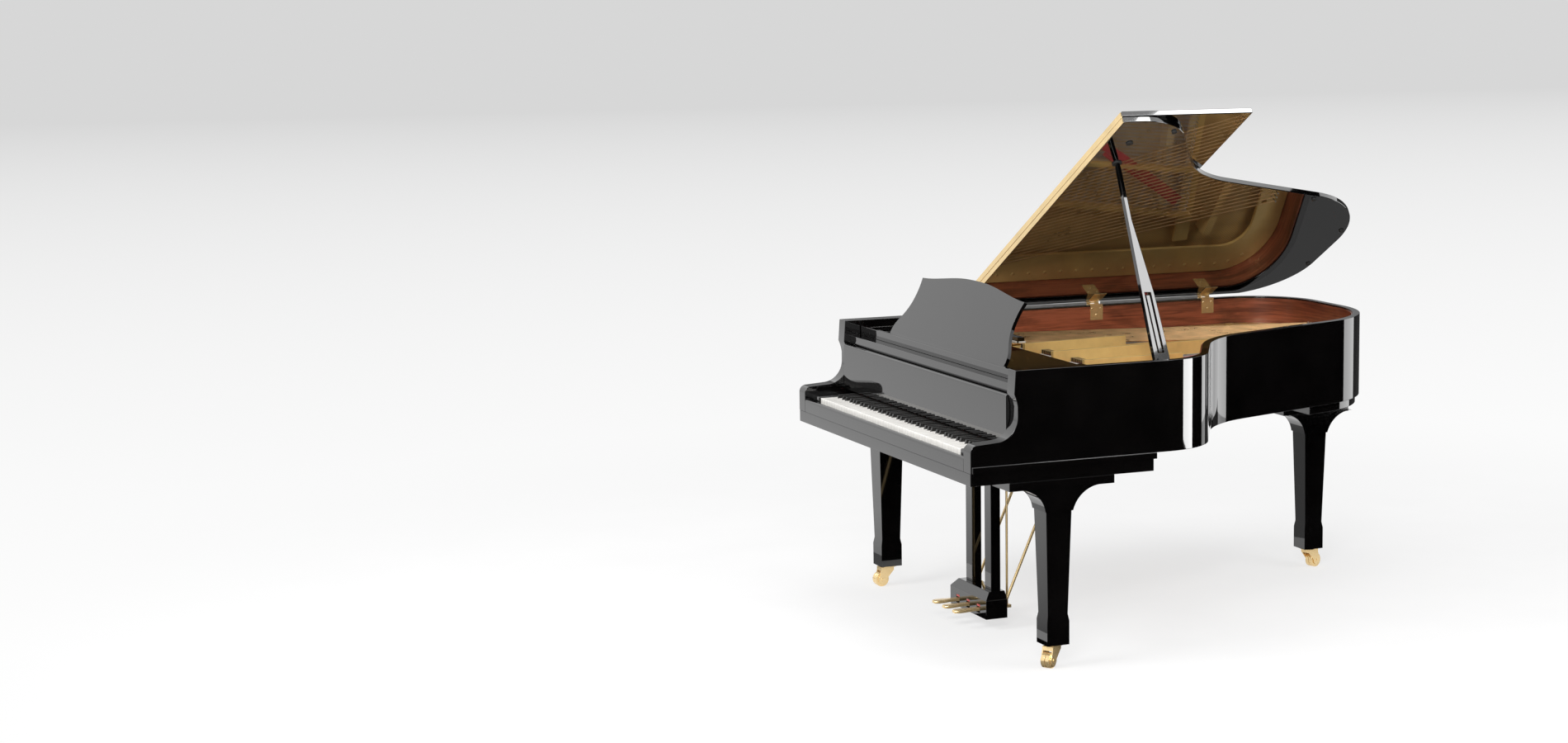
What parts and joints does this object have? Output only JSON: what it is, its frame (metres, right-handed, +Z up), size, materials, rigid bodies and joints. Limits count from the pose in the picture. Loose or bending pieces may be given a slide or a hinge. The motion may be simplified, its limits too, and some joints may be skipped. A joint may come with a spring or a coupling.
{
  "type": "grand piano",
  "caption": "Grand piano with bent-side case, open lid on a folding prop, music desk, moving keys, pedal lyre and tapered legs on twin-wheel casters.",
  "frame": {"origin": "on the floor under the middle of the case's length and width", "axes": "+X to the treble side (the player's right), +Y from the keyboard to the tail, +Z up"},
  "size_m": [1.5127, 2, 1.7696],
  "materials": {
    "black_lacquer": "black polyester lacquer, high gloss",
    "mahogany": "reddish mahogany veneer, satin",
    "plain_wood": "plain beech and spruce, clear satin",
    "spruce": "spruce soundboard, clear lacquer",
    "gold_iron": "cast iron sprayed bronze gold",
    "brass": "polished brass",
    "steel": "bright steel wire",
    "copper_wire": "copper winding on steel",
    "key_white": "white key covering",
    "key_black": "black sharps, satin",
    "black_rubber": "black rubber"
  },
  "bodies": {
    "case": {"outer_rim": "black_lacquer", "rim_lining": "mahogany", "keybed": "black_lacquer", "bracing": "plain_wood", "key_blocks": "black_lacquer", "key_slip": "black_lacquer", "crosspiece": "black_lacquer", "soundboard": "spruce", "iron_frame": "gold_iron", "tuning_pins": "steel", "plain_strings": "steel", "wound_strings": "copper_wire", "rim_hinge_leaves": "brass", "prop_bracket": "black_lacquer", "legs": "black_lacquer", "leg_plates": "black_lacquer", "caster_sockets": "brass", "lyre_frame": "black_lacquer", "pedal_box": "black_lacquer", "lyre_braces": "brass"},
    "fallboard": {"fallboard": "black_lacquer"},
    "music_shelf": {"music_shelf": "black_lacquer"},
    "music_desk": {"music_desk": "black_lacquer"},
    "desk_stay": {"desk_stay": "brass"},
    "lid": {"lid": "black_lacquer", "flap_hinge_lid_leaf": "brass", "lid_hinge_leaves": "brass", "lid_fittings": "black_rubber"},
    "lid_flap": {"lid_flap": "black_lacquer", "flap_hinge_flap_leaf": "brass"},
    "lid_prop": {"lid_prop": "black_lacquer"},
    "short_prop": {"short_prop": "black_lacquer"},
    "keyframe": {"keyframe": "plain_wood", "hammer_action": "plain_wood"},
    "dampers": {"dampers": "black_lacquer"},
    "pedal_left": {"pedal_left": "brass"},
    "pedal_rod_left": {"pedal_rod_left": "brass"},
    "pedal_middle": {"pedal_middle": "brass"},
    "pedal_rod_middle": {"pedal_rod_middle": "brass"},
    "pedal_right": {"pedal_right": "brass"},
    "pedal_rod_right": {"pedal_rod_right": "brass"},
    "keys_c": {"keys_c": "key_white"},
    "keys_c_sharp": {"keys_c_sharp": "key_black"},
    "keys_d": {"keys_d": "key_white"},
    "keys_d_sharp": {"keys_d_sharp": "key_black"},
    "keys_e": {"keys_e": "key_white"},
    "keys_f": {"keys_f": "key_white"},
    "keys_f_sharp": {"keys_f_sharp": "key_black"},
    "keys_g": {"keys_g": "key_white"},
    "keys_g_sharp": {"keys_g_sharp": "key_black"},
    "keys_a": {"keys_a": "key_white"},
    "keys_a_sharp": {"keys_a_sharp": "key_black"},
    "keys_b": {"keys_b": "key_white"},
    "caster_fork_1": {"caster_fork_1": "brass"},
    "caster_wheels_1": {"caster_wheels_1": "brass"},
    "caster_fork_2": {"caster_fork_2": "brass"},
    "caster_wheels_2": {"caster_wheels_2": "brass"},
    "caster_fork_3": {"caster_fork_3": "brass"},
    "caster_wheels_3": {"caster_wheels_3": "brass"}
  },
  "joints": [
    {"name": "fallboard_hinge", "type": "hinge", "parent": "case", "child": "fallboard", "pos_m": [0, -0.848, 0.745], "axis": [1, 0, 0], "range_deg": [0, 92]},
    {"name": "music_shelf_slide", "type": "slide", "parent": "case", "child": "music_shelf", "axis": [0, 1, 0], "range_m": [-0.05, 0.06]},
    {"name": "music_desk_hinge", "type": "hinge", "parent": "music_shelf", "child": "music_desk", "pos_m": [0, -0.756, 0.947], "axis": [-1, 0, 0], "range_deg": [0, 50]},
    {"name": "desk_stay_hinge", "type": "hinge", "parent": "music_desk", "child": "desk_stay", "pos_m": [0, -0.69529, 1.03939], "axis": [-1, 0, 0], "range_deg": [-89.4, 0]},
    {"name": "lid_hinge", "type": "hinge", "parent": "case", "child": "lid", "pos_m": [-0.749, 0.4, 0.984], "axis": [0, -1, 0], "range_deg": [0, 40]},
    {"name": "lid_flap_hinge", "type": "hinge", "parent": "lid", "child": "lid_flap", "pos_m": [-0.759, -0.362, 1.00132], "axis": [0.866, 0, 0.5], "range_deg": [0, 179]},
    {"name": "lid_prop_hinge", "type": "hinge", "parent": "case", "child": "lid_prop", "pos_m": [0.676, -0.284, 0.952], "axis": [0.8513, 0, 0.5246], "range_deg": [0, 80]},
    {"name": "short_prop_hinge", "type": "hinge", "parent": "lid_prop", "child": "short_prop", "pos_m": [0.6477, -0.28165, 0.99793], "axis": [0.0228, 0.9991, -0.037], "range_deg": [0, 40]},
    {"name": "dampers_lift", "type": "slide", "parent": "case", "child": "dampers", "axis": [0, 0, 1], "range_m": [0, 0.0085]},
    {"name": "keyframe_shift", "type": "slide", "parent": "case", "child": "keyframe", "axis": [1, 0, 0], "range_m": [0, 0.0032]},
    {"name": "pedal_left_hinge", "type": "hinge", "parent": "case", "child": "pedal_left", "pos_m": [-0.085, -0.612, 0.066], "axis": [1, 0, 0], "range_deg": [0, 4.5], "stiffness_Nm_per_rad": 60, "springref_deg": -5.73},
    {"name": "pedal_rod_left_slide", "type": "slide", "parent": "case", "child": "pedal_rod_left", "axis": [0, 0, 1], "range_m": [0, 0.0036]},
    {"name": "pedal_middle_hinge", "type": "hinge", "parent": "case", "child": "pedal_middle", "pos_m": [0, -0.612, 0.066], "axis": [1, 0, 0], "range_deg": [0, 4.5], "stiffness_Nm_per_rad": 60, "springref_deg": -5.73},
    {"name": "pedal_rod_middle_slide", "type": "slide", "parent": "case", "child": "pedal_rod_middle", "axis": [0, 0, 1], "range_m": [0, 0.0036]},
    {"name": "pedal_right_hinge", "type": "hinge", "parent": "case", "child": "pedal_right", "pos_m": [0.085, -0.612, 0.066], "axis": [1, 0, 0], "range_deg": [0, 4.5], "stiffness_Nm_per_rad": 60, "springref_deg": -5.73},
    {"name": "pedal_rod_right_slide", "type": "slide", "parent": "case", "child": "pedal_rod_right", "axis": [0, 0, 1], "range_m": [0, 0.0036]},
    {"name": "keys_c_press", "type": "hinge", "parent": "keyframe", "child": "keys_c", "pos_m": [0, -0.75, 0.694], "axis": [1, 0, 0], "range_deg": [0, 2.6], "stiffness_Nm_per_rad": 4, "springref_deg": -8.59},
    {"name": "keys_c_sharp_press", "type": "hinge", "parent": "keyframe", "child": "keys_c_sharp", "pos_m": [0, -0.75, 0.694], "axis": [1, 0, 0], "range_deg": [0, 2.6], "stiffness_Nm_per_rad": 4, "springref_deg": -8.59},
    {"name": "keys_d_press", "type": "hinge", "parent": "keyframe", "child": "keys_d", "pos_m": [0, -0.75, 0.694], "axis": [1, 0, 0], "range_deg": [0, 2.6], "stiffness_Nm_per_rad": 4, "springref_deg": -8.59},
    {"name": "keys_d_sharp_press", "type": "hinge", "parent": "keyframe", "child": "keys_d_sharp", "pos_m": [0, -0.75, 0.694], "axis": [1, 0, 0], "range_deg": [0, 2.6], "stiffness_Nm_per_rad": 4, "springref_deg": -8.59},
    {"name": "keys_e_press", "type": "hinge", "parent": "keyframe", "child": "keys_e", "pos_m": [0, -0.75, 0.694], "axis": [1, 0, 0], "range_deg": [0, 2.6], "stiffness_Nm_per_rad": 4, "springref_deg": -8.59},
    {"name": "keys_f_press", "type": "hinge", "parent": "keyframe", "child": "keys_f", "pos_m": [0, -0.75, 0.694], "axis": [1, 0, 0], "range_deg": [0, 2.6], "stiffness_Nm_per_rad": 4, "springref_deg": -8.59},
    {"name": "keys_f_sharp_press", "type": "hinge", "parent": "keyframe", "child": "keys_f_sharp", "pos_m": [0, -0.75, 0.694], "axis": [1, 0, 0], "range_deg": [0, 2.6], "stiffness_Nm_per_rad": 4, "springref_deg": -8.59},
    {"name": "keys_g_press", "type": "hinge", "parent": "keyframe", "child": "keys_g", "pos_m": [0, -0.75, 0.694], "axis": [1, 0, 0], "range_deg": [0, 2.6], "stiffness_Nm_per_rad": 4, "springref_deg": -8.59},
    {"name": "keys_g_sharp_press", "type": "hinge", "parent": "keyframe", "child": "keys_g_sharp", "pos_m": [0, -0.75, 0.694], "axis": [1, 0, 0], "range_deg": [0, 2.6], "stiffness_Nm_per_rad": 4, "springref_deg": -8.59},
    {"name": "keys_a_press", "type": "hinge", "parent": "keyframe", "child": "keys_a", "pos_m": [0, -0.75, 0.694], "axis": [1, 0, 0], "range_deg": [0, 2.6], "stiffness_Nm_per_rad": 4, "springref_deg": -8.59},
    {"name": "keys_a_sharp_press", "type": "hinge", "parent": "keyframe", "child": "keys_a_sharp", "pos_m": [0, -0.75, 0.694], "axis": [1, 0, 0], "range_deg": [0, 2.6], "stiffness_Nm_per_rad": 4, "springref_deg": -8.59},
    {"name": "keys_b_press", "type": "hinge", "parent": "keyframe", "child": "keys_b", "pos_m": [0, -0.75, 0.694], "axis": [1, 0, 0], "range_deg": [0, 2.6], "stiffness_Nm_per_rad": 4, "springref_deg": -8.59},
    {"name": "caster_swivel_1", "type": "hinge", "parent": "case", "child": "caster_fork_1", "pos_m": [0.69, -0.688, 0], "axis": [0, 0, 1], "continuous": true},
    {"name": "caster_roll_1", "type": "hinge", "parent": "caster_fork_1", "child": "caster_wheels_1", "pos_m": [0.70525, -0.71148, 0.026], "axis": [0.8387, 0.5446, 0], "continuous": true},
    {"name": "caster_swivel_2", "type": "hinge", "parent": "case", "child": "caster_fork_2", "pos_m": [-0.69, -0.688, 0], "axis": [0, 0, 1], "continuous": true},
    {"name": "caster_roll_2", "type": "hinge", "parent": "caster_fork_2", "child": "caster_wheels_2", "pos_m": [-0.69, -0.716, 0.026], "axis": [1, 0, 0], "continuous": true},
    {"name": "caster_swivel_3", "type": "hinge", "parent": "case", "child": "caster_fork_3", "pos_m": [-0.275, 0.842, 0], "axis": [0, 0, 1], "continuous": true},
    {"name": "caster_roll_3", "type": "hinge", "parent": "caster_fork_3", "child": "caster_wheels_3", "pos_m": [-0.28412, 0.86847, 0.026], "axis": [0.9455, 0.3256, 0], "continuous": true}
  ],
  "couplings": [
    {"joint": "desk_stay_hinge", "follows": "music_desk_hinge", "ratio": -1.7681},
    {"joint": "pedal_rod_left_slide", "follows": "pedal_left_hinge", "m_per_rad": 0.0445},
    {"joint": "pedal_rod_middle_slide", "follows": "pedal_middle_hinge", "m_per_rad": 0.0445},
    {"joint": "pedal_rod_right_slide", "follows": "pedal_right_hinge", "m_per_rad": 0.0445},
    {"joint": "dampers_lift", "follows": "pedal_right_hinge", "m_per_rad": 0.1},
    {"joint": "keyframe_shift", "follows": "pedal_left_hinge", "m_per_rad": 0.0405}
  ]
}
